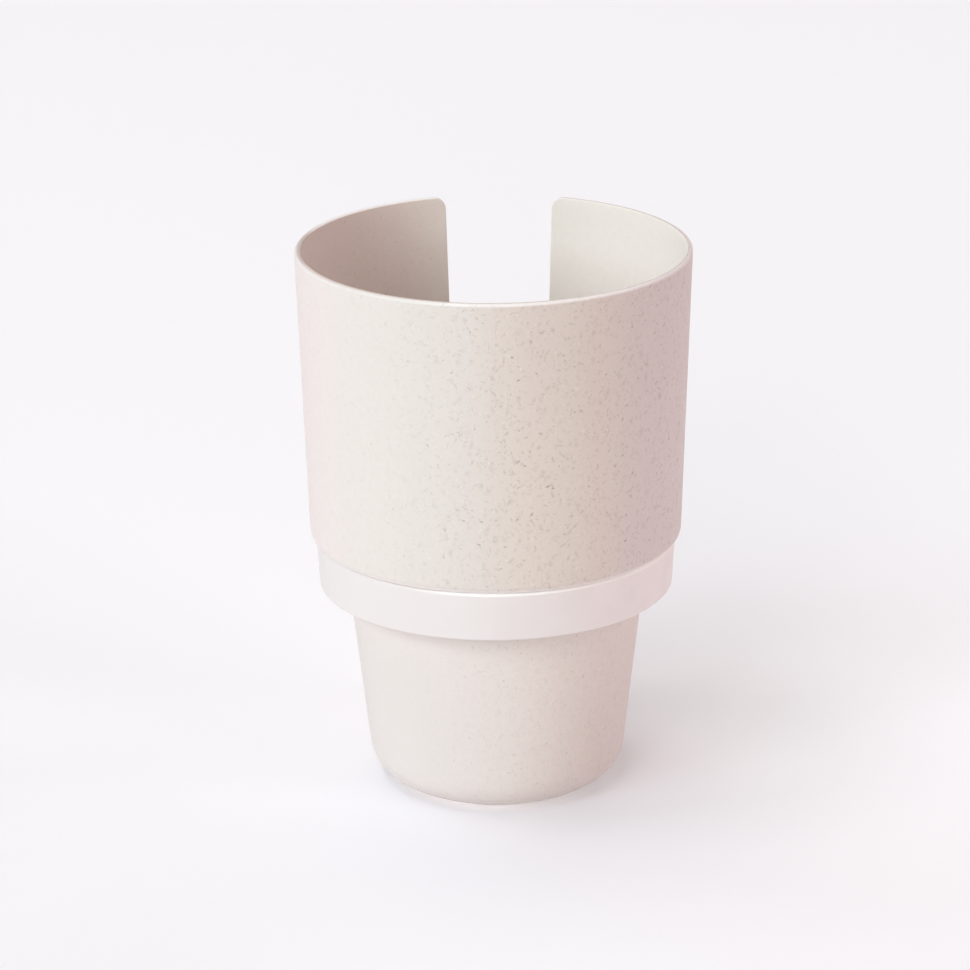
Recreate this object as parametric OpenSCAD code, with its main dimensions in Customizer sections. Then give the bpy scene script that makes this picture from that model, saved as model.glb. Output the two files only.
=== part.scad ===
// Stepped drink holder for a vehicle's cup well.
// A wide upper cup with a handle slot, a narrower lower cup that drops
// into the well, and a soft ring round the neck between them.
// Millimetres. Z is up. The origin is the centre of the flat base and
// the Z axis is the axis of both cups. The handle slot faces +Y.

/* [Whole] */
// Height from the base to the rim
total_h = 135.7; // [128:0.1:145]
// Wall thickness of the cups
wall = 1.9; // [1.6:0.1:2.2]
// Wall thickness at the rim, where the wall has thinned
rim_wall = 1.6; // [1.3:0.1:2]
// Thickness of the base and of the two inner ledges
floor_t = 2.2; // [1.8:0.1:2.6]

/* [Upper cup] */
// Outside diameter at the rim
rim_d = 96; // [94:0.5:100]
// Radius of the rim's outer edge
rim_out_round = 0.75; // [0.3:0.05:0.8]
// Radius of the rim's inner edge
rim_in_round = 0.25; // [0.1:0.05:0.5]
// Outside diameter just above the shoulder
shoulder_d = 91; // [90:0.5:93]
// Height of the shoulder's underside above the base
shoulder_z = 63.1; // [58:0.1:68]
// Radius of the shoulder's lower outside edge
shoulder_round = 2.4; // [1.5:0.1:2.6]
// Radius inside, where the wall meets the upper ledge
ledge_round = 3; // [1:0.5:4]

/* [Handle slot] */
// Width of the slot at the rim, before its corners are rounded
slot_w = 26.7; // [24:0.1:29]
// Depth of the slot below the rim
slot_h = 59; // [40:1:60]
// Angle by which each side of the slot leans in, going down
slot_draft = 1.6; // [0:0.1:3]
// Radius of the two upper corners, where the slot meets the rim
slot_top_round = 3.3; // [2:0.1:6]
// Radius of the two lower corners
slot_bottom_round = 8; // [3:0.5:9]

/* [Lower cup] */
// Outside diameter at the top, under the ring
plug_d = 72.9; // [71:0.1:74]
// Outside diameter at the base, if its edge were sharp
base_d = 61.2; // [58:0.2:66]
// Radius of the base's outside edge
base_round = 10; // [5:0.5:11]

/* [Ring] */
// Outside diameter of the ring at its top
ring_d = 88.3; // [86:0.1:89]
// Outside diameter of the ring at its underside
ring_low_d = 86.8; // [85:0.1:88]
// Height of the ring
ring_h = 12.2; // [10:0.1:14]
// Outside diameter of the neck that the ring sits on
neck_d = 81; // [80:0.5:82]
// Thickness of the ring's inward flange, under the neck
flange_t = 2.2; // [1.6:0.1:3]
// Radius of the ring's upper outside edge
ring_top_round = 0.8; // [0.4:0.1:1.2]
// Radius of the ring's lower outside edge
ring_low_round = 0.4; // [0.3:0.1:1.6]
// Clearance between the ring and the neck, and between the flange and the lower cup
ring_gap = 0.1; // [0.05:0.05:0.3]

/* [Hidden] */
$fn = 128;

ring_z = shoulder_z - ring_h;          // underside of the ring
neck_z = ring_z + flange_t;            // underside of the neck
rim_r = rim_d / 2;
shoulder_r = shoulder_d / 2;
neck_r = neck_d / 2;
plug_r = plug_d / 2;
base_r = base_d / 2;

// outside radius of the lower cup at height z, on its straight taper
function plug_at(z) = base_r + (plug_r - base_r) * z / ring_z;
// outside radius of the upper cup at height z
function upper_at(z) = shoulder_r + (rim_r - shoulder_r) * (z - shoulder_z) / (total_h - shoulder_z);

// a unit vector along v
function unit(v) = v / norm(v);
// half of the inside angle at p between a and b
function half_angle(a, p, b) = acos(max(-1, min(1, unit(a - p) * unit(b - p)))) / 2;
// points where a fillet of radius r leaves the two edges at p
function tangents(a, p, b, r) =
    let (t = r / tan(half_angle(a, p, b))) [p + unit(a - p) * t, p + unit(b - p) * t];
// centre of that fillet
function centre(a, p, b, r) =
    p + unit(unit(a - p) + unit(b - p)) * r / sin(half_angle(a, p, b));
// above zero where the outline, taken anticlockwise, turns left at p
function turn(a, p, b) = cross([p.x - a.x, p.y - a.y], [b.x - p.x, b.y - p.y]);

// Outline with true arcs at its corners.
// corners: [[x, y, radius], ...] anticlockwise; a radius of 0 stays sharp.
module rounded_outline(corners) {
    n = len(corners);
    p = [for (c = corners) [c.x, c.y]];
    function prev(i) = p[(i + n - 1) % n];
    function next(i) = p[(i + 1) % n];
    difference() {
        union() {
            polygon([for (i = [0 : n - 1])
                each (corners[i].z > 0
                    ? tangents(prev(i), p[i], next(i), corners[i].z)
                    : [p[i]])]);
            for (i = [0 : n - 1])
                if (corners[i].z > 0 && turn(prev(i), p[i], next(i)) > 0)
                    corner_piece(prev(i), p[i], next(i), corners[i].z);
        }
        for (i = [0 : n - 1])
            if (corners[i].z > 0 && turn(prev(i), p[i], next(i)) < 0)
                corner_piece(prev(i), p[i], next(i), corners[i].z);
    }
}

// the sliver between a corner's chord and its arc
module corner_piece(a, p, b, r) {
    t = tangents(a, p, b, r);
    intersection() {
        polygon([t[0], p, t[1]]);
        translate(centre(a, p, b, r)) circle(r);
    }
}

// Half section of the moulded cup: x is the radius, y the height.
module cup_section() {
    rounded_outline([
        [0, 0, 0],
        [base_r, 0, base_round],
        [plug_at(neck_z), neck_z, 0],
        [neck_r, neck_z, 0.5],
        [neck_r, shoulder_z, 0],
        [shoulder_r, shoulder_z, shoulder_round],
        [rim_r, total_h, rim_out_round],
        [rim_r - rim_wall, total_h, rim_in_round],
        [shoulder_r - wall, shoulder_z + floor_t, ledge_round],
        [neck_r - wall, shoulder_z + floor_t, 0.8],
        [neck_r - wall, neck_z + floor_t, 1.2],
        [plug_at(neck_z) - wall, neck_z + floor_t, 0.8],
        [plug_at(floor_t) - wall, floor_t, base_round - wall],
        [0, floor_t, 0]
    ]);
}

// Outline of the handle slot, seen along Y: x across, y up.
// Its two upper corners run out past the rim on an arc.
module slot_outline() {
    w = slot_w / 2;
    lean = tan(slot_draft);
    low = total_h - slot_h;
    up = total_h + 20;
    function side(z) = w - (total_h - z) * lean;
    rounded_outline([
        [-side(low), low, slot_bottom_round],
        [side(low), low, slot_bottom_round],
        [side(total_h), total_h, slot_top_round],
        [w + 20, total_h, 0],
        [w + 20, up, 0],
        [-w - 20, up, 0],
        [-w - 20, total_h, 0],
        [-side(total_h), total_h, slot_top_round]
    ]);
}

// The one-piece moulding: upper cup, neck and lower cup, open at the top.
module cup_body() {
    color([0.89, 0.84, 0.80])
    difference() {
        rotate_extrude() cup_section();
        translate([0, rim_r + 10, 0]) rotate([90, 0, 0])
            linear_extrude(rim_r + 10) slot_outline();
    }
}

// Half section of the ring: a wall round the neck and a flange under it.
module ring_section() {
    inner = plug_at(neck_z) + ring_gap;
    rounded_outline([
        [inner, ring_z, 0.4],
        [ring_low_d / 2, ring_z, ring_low_round],
        [ring_d / 2, shoulder_z, ring_top_round],
        [neck_r + ring_gap, shoulder_z, 0],
        [neck_r + ring_gap, neck_z, 0],
        [inner, neck_z, 0]
    ]);
}

// The soft plain ring, pushed up over the lower cup onto the neck.
module shoulder_ring() {
    color([0.93, 0.90, 0.89])
        rotate_extrude() ring_section();
}

cup_body();
shoulder_ring();
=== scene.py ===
"""Looks of the stepped drink holder, in the frame of its construction model."""
import math

import bmesh
import bpy
from mathutils import Matrix, Vector
from mathutils.geometry import delaunay_2d_cdt


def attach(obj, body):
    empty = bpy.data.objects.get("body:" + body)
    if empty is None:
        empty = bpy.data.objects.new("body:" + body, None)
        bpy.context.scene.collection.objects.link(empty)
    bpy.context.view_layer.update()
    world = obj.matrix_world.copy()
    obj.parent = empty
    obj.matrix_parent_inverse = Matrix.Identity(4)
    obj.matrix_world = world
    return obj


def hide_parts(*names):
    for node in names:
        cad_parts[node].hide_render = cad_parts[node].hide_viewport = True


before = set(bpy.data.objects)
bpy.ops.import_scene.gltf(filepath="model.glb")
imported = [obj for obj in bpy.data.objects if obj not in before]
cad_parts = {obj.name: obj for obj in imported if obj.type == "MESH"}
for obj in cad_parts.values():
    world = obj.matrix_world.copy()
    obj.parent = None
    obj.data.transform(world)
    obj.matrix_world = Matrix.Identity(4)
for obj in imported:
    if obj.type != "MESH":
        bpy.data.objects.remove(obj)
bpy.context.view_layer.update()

# ---------------------------------------------------------------- sizes, mm
H = 135.7            # height
WALL = 1.9
RIM_WALL = 1.6
FLOOR_T = 2.2
RIM_R = 48.0
SHOULDER_R = 45.5
SHOULDER_Z = 63.1
SHOULDER_ROUND = 2.4
LEDGE_ROUND = 3.0
RING_R = 44.15       # at its top
RING_LOW_R = 43.4
RING_Z = 50.9
NECK_R = 40.5
NECK_Z = 53.1
RING_GAP = 0.1
BASE_R = 30.6
PLUG_R = 36.45
BASE_ROUND = 10.0
SLOT_W = 13.35       # half width at the rim
SLOT_H = 59.0
SLOT_DRAFT = math.radians(1.6)
SLOT_TOP_ROUND = 3.3
SLOT_LOW_ROUND = 8.0
EDGE_OUT = 0.75      # rounding of the outer edge of the rim and of the slot
EDGE_IN = 0.25       # rounding of the inner edge
COLS = 288           # columns round the axis


def upper_out(z):
    return SHOULDER_R + (RIM_R - SHOULDER_R) * (z - SHOULDER_Z) / (H - SHOULDER_Z)


def upper_in(z):
    z0 = SHOULDER_Z + FLOOR_T
    r0, r1 = SHOULDER_R - WALL, RIM_R - RIM_WALL
    return r0 + (r1 - r0) * (z - z0) / (H - z0)


def plug(z):
    return BASE_R + (PLUG_R - BASE_R) * z / RING_Z


def mm(x, y, z):
    return Vector((x * 0.001, y * 0.001, z * 0.001))


# ------------------------------------------------ profiles with true fillets
def corner(a, p, b, r, n):
    """Points of the arc that rounds the corner p between a and b."""
    a, p, b = Vector(a), Vector(p), Vector(b)
    u, w = (a - p).normalized(), (b - p).normalized()
    half = math.acos(max(-1.0, min(1.0, u.dot(w)))) / 2
    t = r / math.tan(half)
    c = p + (u + w).normalized() * (r / math.sin(half))
    s, e = p + u * t - c, p + w * t - c
    a0 = math.atan2(s.y, s.x)
    da = math.atan2(e.y, e.x) - a0
    da = (da + math.pi) % (2 * math.pi) - math.pi
    return [(c.x + r * math.cos(a0 + da * i / n), c.y + r * math.sin(a0 + da * i / n)) for i in range(n + 1)]


def rounded(points, closed=False):
    """points: (r, z, fillet, steps). Returns the outline as a point list."""
    out = []
    n = len(points)
    for i, (x, y, r, k) in enumerate(points):
        if r > 0 and (closed or 0 < i < n - 1):
            out += corner(points[(i - 1) % n][:2], (x, y), points[(i + 1) % n][:2], r, k)
        else:
            out.append((x, y))
    return out


def refine(line, step):
    """Adds points along the long straight stretches."""
    out = [line[0]]
    for a, b in zip(line, line[1:]):
        k = max(1, math.ceil(math.dist(a, b) / step))
        out += [(a[0] + (b[0] - a[0]) * i / k, a[1] + (b[1] - a[1]) * i / k) for i in range(1, k + 1)]
    return out


def ring_of(bm, r, z, cols=COLS):
    """One circle of vertices; the first is at the back, over +Y."""
    vs = []
    for i in range(cols):
        t = -math.pi + 2 * math.pi * i / cols
        vs.append(bm.verts.new(mm(r * math.sin(t), -r * math.cos(t), z)))
    return vs


def skin(bm, low, high, flip=False):
    n = len(low)
    for i in range(n):
        j = (i + 1) % n
        q = (low[i], low[j], high[j], high[i])
        bm.faces.new(tuple(reversed(q)) if flip else q)


def finish_mesh(bm, name):
    bmesh.ops.recalc_face_normals(bm, faces=bm.faces)
    me = bpy.data.meshes.new(name)
    bm.to_mesh(me)
    bm.free()
    me.polygons.foreach_set("use_smooth", [True] * len(me.polygons))
    ob = bpy.data.objects.new(name, me)
    bpy.context.scene.collection.objects.link(ob)
    return ob


# ------------------------------------------------------------- the moulding
def slot_edge(inset):
    """The slot's outline from its lower middle up its right side to the rim:
    (x, z, ex, ez), inset from the true outline along (ex, ez)."""
    d = SLOT_DRAFT
    low = H - SLOT_H

    def side(z):
        return SLOT_W - (H - z) * math.tan(d)
    pts = []
    zb = low + SLOT_LOW_ROUND
    cx = side(zb) - SLOT_LOW_ROUND / math.cos(d)
    for i in range(6):                                   # lower edge
        pts.append((cx * i / 6, low - inset, 0.0, 1.0))
    for i in range(13):                                  # lower corner
        a = -math.pi / 2 + (math.pi / 2 - d) * i / 12
        rr = SLOT_LOW_ROUND + inset
        pts.append((cx + rr * math.cos(a), zb + rr * math.sin(a), -math.cos(a), -math.sin(a)))
    zt = H - SLOT_TOP_ROUND
    tx = side(zt) + SLOT_TOP_ROUND / math.cos(d)
    arc = []
    for i in range(11):                                  # upper corner
        a = math.pi - d - (math.pi / 2 - d) * i / 10
        rr = SLOT_TOP_ROUND - inset
        arc.append((tx + rr * math.cos(a), zt + rr * math.sin(a), math.cos(a), math.sin(a)))
    x0, z0 = pts[-1][:2]
    x1, z1 = arc[0][:2]
    k = 30
    for i in range(1, k):
        pts.append((x0 + (x1 - x0) * i / k, z0 + (z1 - z0) * i / k, -math.cos(d), math.sin(d)))
    return pts + arc


def boundary():
    """The whole upper edge, once round, from the slot's lower middle up the
    right side, round the rim by the front, and down the left side.
    Each entry: outer angle and z, inner angle and z, edge direction (3D)."""
    out = []
    for (x, z, ex, ez), (xi, zi, _, _) in zip(slot_edge(EDGE_OUT), slot_edge(EDGE_IN)):
        to = math.pi - math.asin(x / upper_out(z))
        ti = math.pi - math.asin(xi / upper_in(zi))
        out.append((to, z, ti, zi, (ex, 0.0, ez)))
    n = len(out)
    to, ti = out[-1][0], out[-1][2]
    k = 232
    for i in range(1, k):
        f = 1 - 2 * i / k
        out.append((to * f, H - EDGE_OUT, ti * f, H - EDGE_IN, (0.0, 0.0, 1.0)))
    for to, z, ti, zi, e in out[:n][::-1][:-1]:
        out.append((-to, z, -ti, zi, (-e[0], 0.0, e[2])))
    return out


def on_wall(t, r, z):
    return mm(r * math.sin(t), -r * math.cos(t), z)


def wall_face(bm, radius, scale, edge, low_ring, low_z, flip):
    """One face of the upper wall, outside or inside, as a triangulated sheet
    over (angle, height). Shares the ring below it and the edge above it."""
    n = len(low_ring)
    pts, verts = [], []
    for i in range(n + 1):                                # along the bottom, both seam ends
        pts.append(((-math.pi + 2 * math.pi * i / n) * scale, low_z))
        verts.append(low_ring[i % n])
    top_z = edge[0][1]
    seam = []
    k = max(2, round((top_z - low_z) / 2.4))
    for i in range(1, k):
        z = low_z + (top_z - low_z) * i / k
        seam.append((z, bm.verts.new(on_wall(math.pi, radius(z), z))))
    right = [((math.pi) * scale, z, v) for z, v in seam]
    left = [((-math.pi) * scale, z, v) for z, v in seam]
    for s, z, v in right:
        pts.append((s, z)); verts.append(v)
    for t, z, v in edge:                                  # slot and rim, +pi side first
        pts.append((t * scale, z)); verts.append(v)
    pts.append((-math.pi * scale, top_z)); verts.append(edge[0][2])
    for s, z, v in reversed(left):
        pts.append((s, z)); verts.append(v)
    count = len(pts)
    loop = [(i, (i + 1) % count) for i in range(count)]
    # inside points: a staggered grid, kept off the edge
    outline = [Vector(p) for p in pts]
    step_s, step_z = 2 * math.pi * scale / n * 2, 2.3
    segs = [(outline[a], outline[b]) for a, b in loop]

    def clear(p):
        for a, b in segs:
            if abs(a.x - p.x) > 6 and abs(b.x - p.x) > 6:
                continue
            ab = b - a
            f = max(0.0, min(1.0, (p - a).dot(ab) / max(ab.length_squared, 1e-12)))
            if (a + ab * f - p).length < 1.15:
                return False
        return True

    half = SLOT_W + 1.5
    rows = int((H - low_z) / step_z) + 1
    inner = []
    for j in range(1, rows):
        z = low_z + j * step_z
        if z > H - EDGE_OUT - 1.1:
            break
        for i in range(n // 2):
            s = -math.pi * scale + (i + (0.5 if j % 2 else 0.0)) * step_s
            x = radius(z) * math.sin(s / scale)
            behind = math.cos(s / scale) < 0
            if behind and z > H - SLOT_H - 2.0 and abs(x) < half:
                w = SLOT_W - (H - z) * math.tan(SLOT_DRAFT)
                if abs(x) < w + EDGE_OUT + 1.0 or z > H - SLOT_TOP_ROUND - 1:
                    lowest = H - SLOT_H
                    if z > lowest - EDGE_OUT - 1.0 and not (z < lowest + SLOT_LOW_ROUND and abs(x) > w + 0.6):
                        if abs(x) < w + EDGE_OUT + 1.0:
                            continue
            p = Vector((s, z))
            if abs(abs(s) - math.pi * scale) < 1.0 and z < top_z + 1:
                continue
            if clear(p):
                inner.append((s, z))
    allp = [Vector(p) for p in pts] + [Vector(p) for p in inner]
    res = delaunay_2d_cdt(allp, loop, [], 1, 1e-6)
    rv, faces, orig = res[0], res[2], res[3]
    made = []
    for k2, p in enumerate(rv):
        src = [o for o in orig[k2] if o < count]
        if src:
            made.append(verts[src[0]])
        else:
            t = p.x / scale
            made.append(bm.verts.new(on_wall(t, radius(p.y), p.y)))
    for f in faces:
        vs = [made[i] for i in f]
        if len(set(vs)) < 3:
            continue
        if flip:
            vs.reverse()
        try:
            bm.faces.new(vs)
        except ValueError:
            pass


def make_cup():
    bm = bmesh.new()
    edge = boundary()
    outer, inner = [], []
    for to, z, ti, zi, e in edge:
        outer.append(bm.verts.new(on_wall(to, upper_out(z), z)))
        inner.append(bm.verts.new(on_wall(ti, upper_in(zi), zi)))
    # the edge between the two faces: an arc, a flat and a smaller arc
    ro, ri = EDGE_OUT * 0.001, EDGE_IN * 0.001
    turns = [(0, math.pi / 2 * k / 6) for k in range(1, 7)] + [(1, math.pi / 2 * k / 3) for k in range(3, 0, -1)]
    rows = [outer]
    for side, a in turns:
        row = []
        for (_, _, _, _, e), vo, vi in zip(edge, outer, inner):
            ev = Vector(e)
            u = ((vi.co + ev * ri) - (vo.co + ev * ro)).normalized()
            if side == 0:
                row.append(bm.verts.new(vo.co + u * (ro * (1 - math.cos(a))) + ev * (ro * math.sin(a))))
            else:
                row.append(bm.verts.new(vi.co - u * (ri * (1 - math.cos(a))) + ev * (ri * math.sin(a))))
        rows.append(row)
    rows.append(inner)
    for a, b in zip(rows, rows[1:]):
        skin(bm, a, b)

    # outside, from the shoulder's fillet down to the middle of the base
    prof = rounded([
        (upper_out(70.0), 70.0, 0, 0),
        (SHOULDER_R, SHOULDER_Z, SHOULDER_ROUND, 10),
        (NECK_R, SHOULDER_Z, 0.3, 3),
        (NECK_R, NECK_Z, 0.5, 4),
        (plug(NECK_Z), NECK_Z, 0.25, 3),
        (BASE_R, 0.0, BASE_ROUND, 22),
        (0.0, 0.0, 0, 0)])
    prof = refine(prof[1:-1], 2.6) + [(16.0, 0.0), (8.0, 0.0), (0.0, 0.0)]
    rings = [ring_of(bm, r, z) for r, z in prof[:-1]]
    for a, b in zip(rings, rings[1:]):
        skin(bm, a, b)
    bm.faces.ensure_lookup_table()
    mid = bm.verts.new(mm(0, 0, 0))
    last = rings[-1]
    for i in range(COLS):
        bm.faces.new((last[i], mid, last[(i + 1) % COLS]))
    wall_face(bm, upper_out, 46.0, [(e[0], e[1], v) for e, v in zip(edge, outer)], rings[0], prof[0][1], False)

    # inside, from the upper ledge's fillet down to the floor
    zl, zn = SHOULDER_Z + FLOOR_T, NECK_Z + FLOOR_T
    prof = rounded([
        (upper_in(75.0), 75.0, 0, 0),
        (SHOULDER_R - WALL, zl, LEDGE_ROUND, 10),
        (NECK_R - WALL, zl, 0.8, 6),
        (NECK_R - WALL, zn, 1.2, 6),
        (plug(NECK_Z) - WALL, zn, 0.8, 6),
        (plug(FLOOR_T) - WALL, FLOOR_T, BASE_ROUND - WALL, 18),
        (0.0, FLOOR_T, 0, 0)])
    prof = refine(prof[1:-1], 2.6) + [(14.0, FLOOR_T), (7.0, FLOOR_T), (0.0, FLOOR_T)]
    rings = [ring_of(bm, r, z) for r, z in prof[:-1]]
    for a, b in zip(rings, rings[1:]):
        skin(bm, a, b, True)
    mid = bm.verts.new(mm(0, 0, FLOOR_T))
    last = rings[-1]
    for i in range(COLS):
        bm.faces.new((last[i], last[(i + 1) % COLS], mid))
    wall_face(bm, upper_in, 45.0, [(e[2], e[3], v) for e, v in zip(edge, inner)], rings[0], prof[0][1], True)
    return finish_mesh(bm, "cup_moulding")


def make_ring():
    bm = bmesh.new()
    inner = plug(NECK_Z) + RING_GAP
    prof = rounded([
        (inner, RING_Z, 0.4, 4),
        (RING_LOW_R, RING_Z, 0.4, 5),
        (RING_R, SHOULDER_Z, 0.8, 10),
        (NECK_R + RING_GAP, SHOULDER_Z, 0.15, 2),
        (NECK_R + RING_GAP, NECK_Z, 0.15, 2),
        (inner, NECK_Z, 0.15, 2)], closed=True)
    prof = refine(prof + prof[:1], 2.0)[:-1]
    rings = [ring_of(bm, r, z) for r, z in prof]
    for i in range(len(rings)):
        skin(bm, rings[i], rings[(i + 1) % len(rings)])
    return finish_mesh(bm, "neck_ring")


# ---------------------------------------------------------------- materials
class Tree:
    """A short way to write shader nodes."""

    def __init__(self, name):
        self.mat = bpy.data.materials.new(name)
        self.mat.use_nodes = True
        self.nt = self.mat.node_tree
        self.nt.nodes.clear()

    def node(self, kind, **props):
        n = self.nt.nodes.new(kind)
        for k, v in props.items():
            setattr(n, k, v)
        return n

    def put(self, sock, v):
        if isinstance(v, bpy.types.NodeSocket):
            self.nt.links.new(v, sock)
        elif v is not None:
            sock.default_value = v

    def math(self, op, a, b=None, c=None, clamp=False):
        n = self.node("ShaderNodeMath", operation=op, use_clamp=clamp)
        for s, v in zip(n.inputs, (a, b, c)):
            self.put(s, v)
        return n.outputs[0]

    def vec(self, op, a, b=None):
        n = self.node("ShaderNodeVectorMath", operation=op)
        self.put(n.inputs[0], a)
        if b is not None:
            self.put(n.inputs[3] if op == "SCALE" else n.inputs[1], b)
        return n.outputs[1] if op in ("LENGTH", "DISTANCE", "DOT_PRODUCT") else n.outputs[0]

    def xyz(self, x, y, z=0.0):
        n = self.node("ShaderNodeCombineXYZ")
        for s, v in zip(n.inputs, (x, y, z)):
            self.put(s, v)
        return n.outputs[0]

    def split(self, v):
        n = self.node("ShaderNodeSeparateXYZ")
        self.put(n.inputs[0], v)
        return n.outputs

    def ramp(self, v, lo, hi, a=0.0, b=1.0, smooth=True):
        n = self.node("ShaderNodeMapRange", interpolation_type="SMOOTHSTEP" if smooth else "LINEAR")
        for s, x in zip(n.inputs[:5], (v, lo, hi, a, b)):
            self.put(s, x)
        return n.outputs[0]

    def noise(self, v, scale, detail=2.0, rough=0.5, dims="3D"):
        n = self.node("ShaderNodeTexNoise", noise_dimensions=dims)
        self.put(n.inputs["Vector"], v)
        self.put(n.inputs["Scale"], scale)
        self.put(n.inputs["Detail"], detail)
        self.put(n.inputs["Roughness"], rough)
        return n.outputs[0]

    def mix(self, f, a, b):
        n = self.node("ShaderNodeMix", data_type="RGBA")
        self.put(n.inputs[0], f)
        self.put(n.inputs[6], a)
        self.put(n.inputs[7], b)
        return n.outputs[2]


def lin(r, g, b):
    def f(c):
        c /= 255.0
        return c / 12.92 if c <= 0.04045 else ((c + 0.055) / 1.055) ** 2.4
    return (f(r), f(g), f(b), 1.0)


def unrolled(t):
    """The surface unrolled round the axis: (arc length, height, 0) in mm,
    and the radius in mm."""
    co = t.node("ShaderNodeTexCoord").outputs["Object"]
    p = t.vec("SCALE", co, 1000.0)
    x, y, z = t.split(p)
    ang = t.math("ARCTAN2", x, t.math("MULTIPLY", y, -1.0))
    rad = t.math("SQRT", t.math("ADD", t.math("MULTIPLY", x, x), t.math("MULTIPLY", y, y)))
    return p, ang, rad, z


def fibres(t, uv, cell, length, width, density, seed, bend=0.0, spread=2.0, edge=0.3):
    """Short fibres, one to a cell at most, lying within spread * 90 degrees
    of upright. Returns a soft mask, with each fibre's own strength in it."""
    v = t.vec("ADD", uv, t.xyz(seed * 37.7, seed * 11.3, 0.0))
    vo = t.node("ShaderNodeTexVoronoi", voronoi_dimensions="2D", feature="F1")
    t.put(vo.inputs["Vector"], v)
    t.put(vo.inputs["Scale"], 1.0 / cell)
    t.put(vo.inputs["Randomness"], 0.85)
    rnd = t.split(vo.outputs["Color"])
    pos = t.vec("SCALE", vo.outputs["Position"], 1.0)
    d = t.vec("SUBTRACT", v, pos)
    rot = t.node("ShaderNodeVectorRotate", rotation_type="Z_AXIS")
    t.put(rot.inputs["Vector"], d)
    t.put(rot.inputs["Angle"], t.math("MULTIPLY_ADD", rnd[0], math.pi * spread, math.pi / 2 * (1 - spread)))
    dx, dy, _ = t.split(rot.outputs[0])
    if bend:
        k = t.math("MULTIPLY", t.math("SUBTRACT", rnd[2], 0.5), bend * 2)
        dy = t.math("ADD", dy, t.math("MULTIPLY", t.math("MULTIPLY", dx, dx), k))
    ln = t.math("MULTIPLY_ADD", rnd[1], length * 0.7, length * 0.3)
    wd = t.math("MULTIPLY_ADD", rnd[2], width * 0.6, width * 0.5)
    ax = t.math("DIVIDE", dx, ln)
    ay = t.math("DIVIDE", dy, wd)
    rr = t.math("SQRT", t.math("ADD", t.math("MULTIPLY", ax, ax), t.math("MULTIPLY", ay, ay)))
    body = t.ramp(rr, edge, 1.4, 1.0, 0.0)
    other = t.node("ShaderNodeTexWhiteNoise", noise_dimensions="3D")
    t.put(other.inputs["Vector"], t.vec("SCALE", pos, 7.31))
    oc = t.split(other.outputs["Color"])
    on = t.math("LESS_THAN", oc[0], density)
    strength = t.math("MULTIPLY_ADD", oc[1], 0.75, 0.25)
    return t.math("MULTIPLY", t.math("MULTIPLY", body, on), strength)


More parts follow.
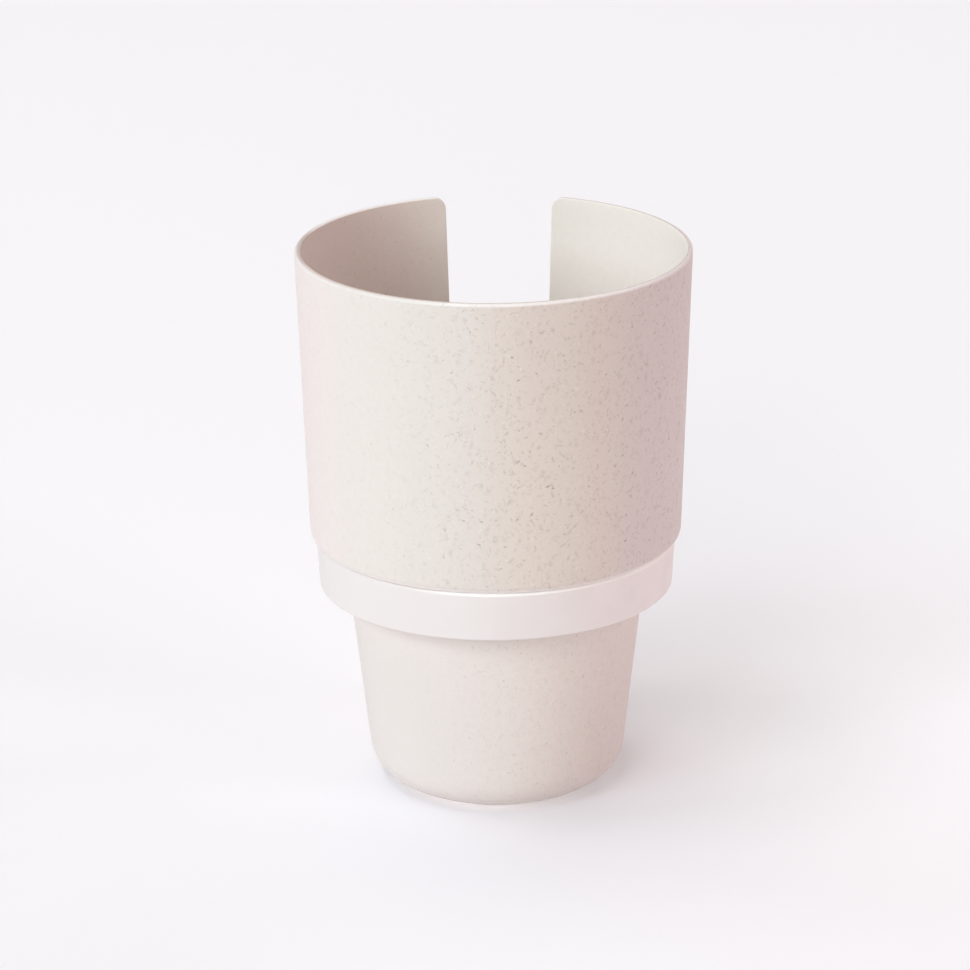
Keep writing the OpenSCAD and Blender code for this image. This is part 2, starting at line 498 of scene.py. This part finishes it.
def speckled():
    t = Tree("speckled_fibre_plastic")
    p, ang, rad, z = unrolled(t)
    # the pattern is laid out by angle and height, the angle scaled to about mm of arc on the upper and on the lower cup
    radial = t.math("SUBTRACT", rad, t.math("MULTIPLY_ADD", z, 0.0345, 43.32))
    upper = t.math("GREATER_THAN", z, 58.0)
    uv0 = t.xyz(t.math("MULTIPLY", ang, t.math("MULTIPLY_ADD", upper, 12.0, 34.5)), z, 0.0)
    # level faces take the plain x and y instead
    level = t.math("GREATER_THAN", t.math("ABSOLUTE", t.split(t.node("ShaderNodeTexCoord").outputs["Normal"])[2]), 0.8)
    uv0 = t.vec("ADD", t.vec("SCALE", uv0, t.math("SUBTRACT", 1.0, level)), t.vec("SCALE", p, level))
    warp = t.node("ShaderNodeTexNoise", noise_dimensions="3D")
    t.put(warp.inputs["Vector"], uv0)
    t.put(warp.inputs["Scale"], 0.9)
    t.put(warp.inputs["Detail"], 2.0)
    w = t.vec("SCALE", t.vec("SUBTRACT", warp.outputs["Color"], (0.5, 0.5, 0.5)), 0.55)
    uv = t.vec("ADD", uv0, w)
    inside = t.ramp(radial, -1.4, -1.0, 1.0, 0.0)          # on the upper cup only
    inside_low = t.ramp(rad, t.math("MULTIPLY_ADD", z, 0.1133, 29.5), t.math("MULTIPLY_ADD", z, 0.1133, 29.9), 1.0, 0.0)
    inside = t.math("ADD", t.math("MULTIPLY", inside, upper), t.math("MULTIPLY", inside_low, t.math("SUBTRACT", 1.0, upper)))
    low = t.math("SUBTRACT", 1.0, upper)
    # painted highlight: fibres are thinned where the key light hits hardest, on the outside's front left and the
    # inside's right wall, as a highlight would wash them out; the inside and the lower cup also get fewer fibres
    # throughout
    facing_key = t.math("COSINE", t.math("ADD", ang, math.radians(65)))
    inner_and_lit_thinning = t.math("MULTIPLY", t.math("MULTIPLY", inside, upper), t.ramp(facing_key, -0.5, 0.6, 0.88, 0.58))
    amount = t.math("SUBTRACT", 1.0, t.math("ADD", t.math("MULTIPLY", low, 0.56), inner_and_lit_thinning), clamp=True)
    # painted highlight: the outside's fibres thin out towards the lit front left
    spread = t.ramp(facing_key, 0.35, 0.97, 0.84, 0.17)
    patch = t.math("MULTIPLY", spread, t.ramp(t.noise(uv0, 0.16, 3.0, 0.6), 0.35, 0.65, 0.75, 1.2))

    # broad faint smears under the surface
    smear = t.math("MAXIMUM", fibres(t, uv, 2.9, 1.35, 0.60, 0.52, 1.0, 0.3, 0.7, 0.1),
                   fibres(t, uv, 2.0, 0.75, 0.50, 0.50, 2.0, 0.0, 1.1, 0.1))
    # short fibres at the surface
    dark = fibres(t, uv, 1.9, 0.85, 0.22, 0.40, 3.0, 0.5, 0.9)
    for layer in (fibres(t, uv, 1.45, 0.50, 0.20, 0.33, 4.0, 0.2, 1.6),
                  fibres(t, uv, 3.6, 1.40, 0.20, 0.45, 5.0, 0.6, 1.0),
                  fibres(t, uv, 1.15, 0.20, 0.18, 0.22, 6.0)):
        dark = t.math("MAXIMUM", dark, layer)
    dots = fibres(t, uv, 3.4, 0.62, 0.26, 0.26, 7.0, 0.4, 1.2)
    pale = t.math("MAXIMUM", fibres(t, uv, 1.55, 0.26, 0.19, 0.45, 8.0, 0.0, 1.5),
                  fibres(t, uv, 2.6, 0.55, 0.20, 0.40, 9.0, 0.3, 1.0))
    fleck = t.math("MULTIPLY", t.math("MULTIPLY", dark, amount), patch)
    spot = t.math("MULTIPLY", t.math("MULTIPLY", dots, amount), patch)

    # painted light and shade: the tone is set by side against the key light at the front left. The lower cup is darker
    # on its lit left, the upper cup is lighter at its far left edge and darker near the rim on the shaded right, and
    # inside, the lit right wall is lighter and the shaded left wall darker.
    left = t.ramp(facing_key, 0.3, 0.95, 0.0, 1.0)
    middle = t.math("MULTIPLY", t.ramp(facing_key, -0.6, -0.1, 0.0, 1.0), t.ramp(facing_key, 0.15, 0.55, 1.0, 0.0))
    below = t.mix(left, t.mix(middle, lin(223, 211, 206), lin(226, 214, 207)), lin(214, 203, 199))
    above = t.mix(t.ramp(facing_key, -0.45, -0.1), lin(218, 205, 202), lin(219, 205, 195))
    above = t.mix(t.ramp(facing_key, 0.25, 0.6), above, lin(217, 206, 200))
    edge = t.math("COSINE", t.math("ADD", ang, math.radians(95)))
    above = t.mix(t.ramp(edge, 0.6, 0.95), above, lin(222, 207, 204))
    # painted shade: darker towards the rim on the side away from the key light
    high = t.math("MULTIPLY", t.ramp(z, 85.0, 128.0), t.ramp(facing_key, 0.2, 0.5, 1.0, 0.0))
    above = t.mix(t.math("MULTIPLY", high, 0.28), above, lin(204, 188, 182))
    base = t.mix(upper, below, above)
    # painted light and shade inside: the lit right wall lighter, the shaded left wall darker
    within = t.mix(t.ramp(facing_key, -0.4, 0.8, 0.0, 1.0), lin(236, 225, 218), lin(220, 208, 201))
    base = t.mix(t.math("MULTIPLY", inside, upper), base, within)
    mott = t.ramp(t.noise(uv0, 0.55, 4.0, 0.6), 0.3, 0.7, 0.0, 1.0)
    base = t.mix(t.math("MULTIPLY", mott, t.math("MULTIPLY_ADD", inside, -0.20, 0.30)), base, lin(215, 201, 194))
    fine = t.ramp(t.noise(uv0, 3.2, 3.0, 0.65), 0.35, 0.75, 0.0, 1.0)
    base = t.mix(t.math("MULTIPLY", fine, t.math("MULTIPLY", t.math("MULTIPLY", amount, patch), 0.15)), base, lin(198, 180, 172))
    col = t.mix(t.math("MULTIPLY", t.math("MULTIPLY", smear, t.math("MULTIPLY", amount, patch)), 0.24), base, lin(150, 128, 116))
    col = t.mix(t.math("MULTIPLY", t.math("MULTIPLY", pale, t.math("MULTIPLY", amount, patch)), 0.58), col, lin(240, 229, 224))
    col = t.mix(t.math("MULTIPLY", fleck, 0.36, clamp=True), col, lin(132, 110, 98))
    col = t.mix(t.math("MULTIPLY", spot, 0.68, clamp=True), col, lin(106, 85, 76))

    # painted highlight on the rim's lip, weaker on the lit left, with a thin line on the flat at the back left; painted
    # shade on the flat at the far left; painted light under the shoulder that lifts the shade in the seam above the
    # ring. The lip is also smoother.
    lip_highlight = t.math("MULTIPLY", t.ramp(z, H - 0.85, H - 0.3, 0.0, 1.0), t.ramp(radial, -0.85, -0.6))
    lip_highlight = t.math("MULTIPLY", lip_highlight, t.ramp(facing_key, 0.45, 0.85, 0.8, 0.2))
    flat = t.math("MULTIPLY", t.ramp(z, H - 0.4, H - 0.1, 0.0, 1.0), t.ramp(radial, -0.8, -0.6, 1.0, 0.0))
    # painted reflection: a thin bright line on the rim's flat at the back left
    rear = t.ramp(t.math("COSINE", t.math("ADD", ang, math.radians(145))), 0.72, 0.9)
    side = t.ramp(t.math("COSINE", t.math("ADD", ang, math.radians(88))), 0.93, 0.98)
    lip_highlight = t.math("MAXIMUM", lip_highlight, t.math("MULTIPLY", flat, rear))
    # painted shade on the rim's flat at the far left
    col = t.mix(t.math("MULTIPLY", t.math("MULTIPLY", flat, side), 0.6), col, lin(190, 174, 166))
    # painted light under the shoulder, lifting the shade in the seam above the ring
    foot = t.math("MULTIPLY", t.ramp(z, SHOULDER_Z + 0.1, SHOULDER_Z + 1.5, 1.0, 0.0), t.ramp(rad, 42.0, 42.6))
    painted_edge_light = t.math("MULTIPLY", t.math("MAXIMUM", lip_highlight, foot), t.ramp(t.noise(uv0, 0.35, 2.0, 0.5), 0.25, 0.75, 0.7, 1.0))
    col = t.mix(painted_edge_light, col, lin(247, 240, 239))

    bs = t.node("ShaderNodeBsdfPrincipled")
    t.put(bs.inputs["Base Color"], col)
    rough = t.ramp(t.noise(p, 1.1, 3.0, 0.6), 0.3, 0.7, 0.46, 0.58)
    rough = t.math("MULTIPLY_ADD", lip_highlight, -0.16, rough)
    t.put(bs.inputs["Roughness"], t.math("MULTIPLY_ADD", fleck, 0.12, rough))
    bs.inputs["IOR"].default_value = 1.47
    bs.inputs["Specular IOR Level"].default_value = 0.42
    bs.inputs["Subsurface Weight"].default_value = 0.0
    grain = t.noise(p, 2.4, 3.0, 0.6)
    orange = t.noise(p, 0.35, 2.0, 0.5)
    hgt = t.math("ADD", t.math("MULTIPLY", grain, 0.35), t.math("MULTIPLY", orange, 0.9))
    hgt = t.math("SUBTRACT", hgt, t.math("MULTIPLY", t.math("MAXIMUM", fleck, spot), 0.5))
    bump = t.node("ShaderNodeBump")
    bump.inputs["Strength"].default_value = 0.25
    bump.inputs["Distance"].default_value = 0.00006
    t.put(bump.inputs["Height"], hgt)
    t.put(bs.inputs["Normal"], bump.outputs[0])
    out = t.node("ShaderNodeOutputMaterial")
    t.put(out.inputs["Surface"], bs.outputs[0])
    return t.mat


def ring_rubber():
    t = Tree("plain_satin_rubber")
    p, ang, rad, z = unrolled(t)
    mott = t.ramp(t.noise(p, 0.12, 3.0, 0.55), 0.3, 0.7)
    facing_key = t.math("COSINE", t.math("ADD", ang, math.radians(65)))
    # painted light and shade: the ring is lighter on its shaded right and darker on its lit left
    col = t.mix(t.ramp(facing_key, -0.5, 0.4, 1.0, 0.0), lin(226, 216, 214), lin(239, 230, 228))
    col = t.mix(t.ramp(facing_key, 0.4, 0.95, 0.0, 1.0), col, lin(219, 208, 206))
    col = t.mix(t.math("MULTIPLY", mott, 0.20), col, lin(219, 207, 204))
    dust = t.ramp(t.noise(p, 2.2, 2.0, 0.7), 0.66, 0.80)
    col = t.mix(t.math("MULTIPLY", dust, 0.06), col, lin(195, 176, 170))
    # painted highlight along the ring's top edge, fading out on the lit left, where painted shade tones down the edge's
    # own highlight instead
    top = t.math("MULTIPLY", t.ramp(z, SHOULDER_Z - 1.0, SHOULDER_Z - 0.45), t.ramp(rad, 42.7, 43.0))
    col = t.mix(t.math("MULTIPLY", top, t.ramp(facing_key, 0.42, 0.8, 1.0, 0.0)), col, lin(248, 243, 240))
    col = t.mix(t.math("MULTIPLY", top, t.ramp(facing_key, 0.65, 0.95, 0.0, 0.4)), col, lin(205, 196, 194))
    bs = t.node("ShaderNodeBsdfPrincipled")
    t.put(bs.inputs["Base Color"], col)
    t.put(bs.inputs["Roughness"], t.ramp(t.noise(p, 0.8, 3.0, 0.6), 0.3, 0.7, 0.50, 0.60))
    bs.inputs["IOR"].default_value = 1.43
    bs.inputs["Specular IOR Level"].default_value = 0.4
    bump = t.node("ShaderNodeBump")
    bump.inputs["Strength"].default_value = 0.18
    bump.inputs["Distance"].default_value = 0.00004
    t.put(bump.inputs["Height"], t.noise(p, 3.5, 3.0, 0.6))
    t.put(bs.inputs["Normal"], bump.outputs[0])
    out = t.node("ShaderNodeOutputMaterial")
    t.put(out.inputs["Surface"], bs.outputs[0])
    return t.mat


def floor_paper():
    t = Tree("studio_floor")
    co = t.node("ShaderNodeTexCoord").outputs["Object"]
    n = t.ramp(t.noise(co, 3.0, 2.0, 0.5), 0.3, 0.7)
    col = t.mix(t.math("MULTIPLY", n, 0.15), lin(251, 249, 252), lin(249, 247, 250))
    x, y, z = t.split(co)
    # painted shade: the floor is a little darker in front of and to the left of the cup
    near = t.math("MULTIPLY", t.ramp(y, -0.012, 0.040, 1.0, 0.0), t.ramp(x, -0.095, 0.0, 1.0, 0.1))
    col = t.mix(near, col, lin(244, 242, 245))
    bs = t.node("ShaderNodeBsdfPrincipled")
    t.put(bs.inputs["Base Color"], col)
    bs.inputs["Roughness"].default_value = 0.75
    bs.inputs["Specular IOR Level"].default_value = 0.25
    # the photograph shows only a thin contact shadow, so a faint glow fills in the rest
    rad = t.math("SQRT", t.math("ADD", t.math("MULTIPLY", x, x), t.math("MULTIPLY", y, y)))
    one = t.math("ADD", t.ramp(rad, 0.0223, 0.0285, 0.38, 0.0), t.ramp(rad, 0.0223, 0.0310, 0.05, 0.0))
    thin = t.math("MULTIPLY", t.ramp(rad, 0.0238, 0.0250, 0.20, 0.0), t.ramp(x, -0.009, -0.001))
    one = t.math("SUBTRACT", one, thin)
    thin = t.math("MULTIPLY", t.ramp(rad, 0.0228, 0.0240, 0.12, 0.0), t.ramp(x, 0.014, 0.020, 1.0, 0.0))
    wide = t.math("MULTIPLY", t.ramp(rad, 0.0270, 0.0330, 0.07, 0.0), t.ramp(x, 0.0245, 0.0275))
    other = t.math("ADD", t.math("SUBTRACT", t.ramp(rad, 0.0223, 0.0305, 0.20, 0.0), thin), wide)
    turn = t.ramp(x, 0.0, 0.012)
    t.put(bs.inputs["Emission Strength"], t.math("ADD", t.math("MULTIPLY", one, t.math("SUBTRACT", 1.0, turn)), t.math("MULTIPLY", other, turn)))
    bs.inputs["Emission Color"].default_value = (1.0, 0.985, 1.0, 1.0)
    out = t.node("ShaderNodeOutputMaterial")
    t.put(out.inputs["Surface"], bs.outputs[0])
    return t.mat


# ------------------------------------------------------------- the two pieces
cup = make_cup()
cup.data.materials.append(speckled())
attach(cup, "root")
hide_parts("cup_body")

ring = make_ring()
ring.data.materials.append(ring_rubber())
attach(ring, "root")
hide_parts("shoulder_ring")

# -------------------------------------------------------------------- stage
me = bpy.data.meshes.new("studio_floor")
S = 6.0
me.from_pydata([(-S, -S, 0), (S, -S, 0), (S, S, 0), (-S, S, 0)], [], [(0, 1, 2, 3)])
floor = bpy.data.objects.new("studio_floor", me)
bpy.context.scene.collection.objects.link(floor)
floor.data.materials.append(floor_paper())

# ------------------------------------------------------------------- camera
cam = bpy.data.cameras.new("camera")
cam.sensor_width = 36.0
cam.sensor_fit = "HORIZONTAL"
cam.lens = 4287.0 / 970.0 * 36.0
cam.clip_start = 0.05
cam.clip_end = 50.0
cam_ob = bpy.data.objects.new("camera", cam)
bpy.context.scene.collection.objects.link(cam_ob)
PITCH, ROLL, AZ = math.radians(19.35), math.radians(0.515), math.radians(1.90)
D, TX, TZ = 1.0515, -0.002554, 0.07495
place = Matrix.Rotation(AZ, 4, "Z") @ Matrix.Translation((TX, -D * math.cos(PITCH), TZ + D * math.sin(PITCH)))
cam_ob.matrix_world = place @ Matrix.Rotation(math.pi / 2 - PITCH, 4, "X") @ Matrix.Rotation(-ROLL, 4, "Z")
bpy.context.scene.camera = cam_ob


# ------------------------------------------------------------------- lights
def area(name, at, to, sx, sy, power, colour):
    li = bpy.data.lights.new(name, "AREA")
    li.shape = "RECTANGLE"
    li.size, li.size_y = sx, sy
    li.energy = power
    li.color = colour
    ob = bpy.data.objects.new(name, li)
    ob.location = at
    ob.rotation_euler = (Vector(to) - Vector(at)).to_track_quat("-Z", "Y").to_euler()
    bpy.context.scene.collection.objects.link(ob)
    return ob


# name, degrees left of the front, elevation, size in m, power in W per channel
STUDIO = [
    ("key_left", 50, 25, 6.0, (426.0, 486.0, 493.0)),
    ("key_front", 40, 25, 6.0, (345.0, 395.0, 373.0)),
    ("key_far", 62, 30, 6.0, (0.0, 11.0, 49.0)),
    ("right", -80, 25, 8.0, (329.0, 233.0, 234.0)),
    ("back", 180, 65, 8.0, (281.0, 286.0, 283.0)),
    ("back_left", 120, 68, 8.0, (143.0, 135.0, 138.0)),
]
# the paper floor has its own lights: high ones that keep the cup's shadow short,
# and low ones that reach in under its rounded foot
FLOOR = [
    ("floor_front_left", 30, 45, 5.0, (219.0, 232.0, 237.0)),
    ("floor_left", 60, 60, 5.0, (42.0, 50.0, 57.0)),
    ("floor_small", 75, 68, 2.5, (90.0, 84.0, 85.0)),
    ("floor_back_left", 120, 75, 5.0, (68.0, 56.0, 49.0)),
    ("floor_side_left", 120, 45, 5.0, (28.0, 50.0, 61.0)),
    ("floor_back", 180, 60, 8.0, (220.0, 202.0, 193.0)),
    ("floor_right", -90, 60, 8.0, (38.0, 23.0, 27.0)),
    ("floor_low_left", 50, 18, 5.0, (96.0, 121.0, 136.0)),
    ("floor_low_front", 10, 18, 5.0, (325.0, 332.0, 333.0)),
    ("floor_low_back", 130, 18, 5.0, (74.0, 77.0, 76.0)),
    ("floor_low_right", -60, 18, 5.0, (214.0, 211.0, 212.0)),
]


def rig(lamps, name, lit, aim):
    group = bpy.data.collections.new(name)
    for o in lit:
        group.objects.link(o)
    for lamp, left, up, size, watts in lamps:
        az, el = math.radians(left), math.radians(up)
        at = Vector((-math.sin(az) * math.cos(el), -math.cos(az) * math.cos(el), math.sin(el))) * 10.0
        power = max(watts)
        ob = area(lamp, at, (0, 0, aim), size, size, power, tuple(w / power for w in watts))
        ob.light_linking.receiver_collection = group


rig(STUDIO, "lit_pieces", (cup, ring), 0.07)
rig(FLOOR, "lit_floor", (floor,), 0.0)

world = bpy.data.worlds.new("studio")
world.use_nodes = True
bg = world.node_tree.nodes["Background"]
bg.inputs[0].default_value = (1.0, 0.989, 0.955, 1.0)
bg.inputs[1].default_value = 0.269
bpy.context.scene.world = world

view = bpy.context.scene.view_settings
view.view_transform = "Standard"
view.look = "None"
view.exposure = 0.0
view.gamma = 1.0

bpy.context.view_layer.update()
